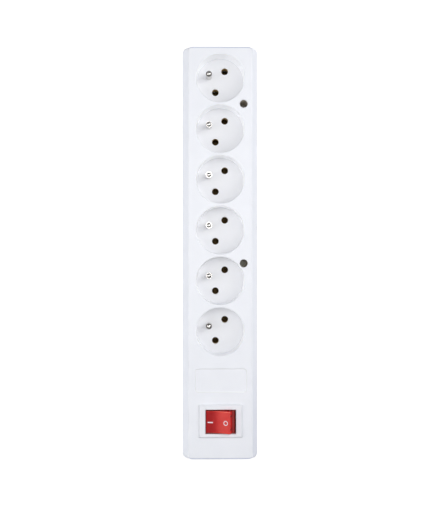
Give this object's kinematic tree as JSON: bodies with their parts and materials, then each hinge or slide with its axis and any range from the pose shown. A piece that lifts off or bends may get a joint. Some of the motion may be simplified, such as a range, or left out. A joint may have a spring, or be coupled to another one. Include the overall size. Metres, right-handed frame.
{
  "type": "power strip",
  "caption": "Long flared white socket strip with a row of round recessed earthed wells, two wall-screw holes, a blank label panel and a red lighted rocker switch.",
  "frame": {"origin": "centre of the underside", "axes": "+Z out of the sockets, +Y along the strip from the switch to the far end, +X across it, to the right when the switch is nearest"},
  "size_m": [0.062, 0.342, 0.047],
  "materials": {
    "white_plastic": "satin moulded",
    "tray_plastic": "fine matt moulded",
    "bezel_plastic": "smooth gloss",
    "red_lens": "translucent gloss",
    "nickel": "polished nickel plate",
    "brass": "rolled sheet",
    "silvered_brass": "tin plated",
    "zinc_steel": "zinc plated",
    "nylon": "natural",
    "lamp_glass": "clear",
    "resistor_body": "lacquered",
    "brown_insulation": "extruded",
    "blue_insulation": "extruded",
    "grommet_plastic": "soft moulded"
  },
  "bodies": {
    "enclosure": {"top_cover": "white_plastic", "base_tray": "tray_plastic", "switch_housing": "bezel_plastic", "housing_screws": "zinc_steel", "line_busbar": "brass", "neutral_busbar": "brass", "line_contacts": "brass", "neutral_contacts": "brass", "contact_rivets": "brass", "earth_busbar": "brass", "earth_terminal_screw": "zinc_steel", "terminal_line_in": "silvered_brass", "terminal_neutral_in": "silvered_brass", "terminal_line_out": "silvered_brass", "terminal_neutral_out": "silvered_brass", "neon_lamp": "lamp_glass", "lamp_resistor": "resistor_body", "wire_receptacles": "silvered_brass", "wire_line": "brown_insulation", "wire_neutral": "blue_insulation", "inlet_grommet": "grommet_plastic", "cord_clamp_bar": "nylon", "cord_clamp_screws": "zinc_steel", "earth_pin_1": "nickel", "earth_pin_2": "nickel", "earth_pin_3": "nickel", "earth_pin_4": "nickel", "earth_pin_5": "nickel", "earth_pin_6": "nickel"},
    "rocker_cap": {"rocker": "red_lens", "plungers": "nylon", "plunger_springs": "zinc_steel"},
    "line_blade": {"contact_blade_line": "silvered_brass"},
    "neutral_blade": {"contact_blade_neutral": "silvered_brass"}
  },
  "joints": [
    {"name": "rocker_tilt", "type": "hinge", "parent": "enclosure", "child": "rocker_cap", "pos_m": [0.0003, -0.1359, 0.0369], "axis": [0, 1, 0], "range_deg": [0, 32]},
    {"name": "line_blade_rock", "type": "hinge", "parent": "enclosure", "child": "line_blade", "pos_m": [0.0003, -0.1314, 0.0225], "axis": [0, 1, 0], "range_deg": [-16, 0]},
    {"name": "neutral_blade_rock", "type": "hinge", "parent": "enclosure", "child": "neutral_blade", "pos_m": [0.0003, -0.1404, 0.0225], "axis": [0, 1, 0], "range_deg": [-16, 0]}
  ],
  "couplings": [
    {"joint": "line_blade_rock", "follows": "rocker_tilt", "ratio": -0.499},
    {"joint": "neutral_blade_rock", "follows": "rocker_tilt", "ratio": -0.499}
  ]
}
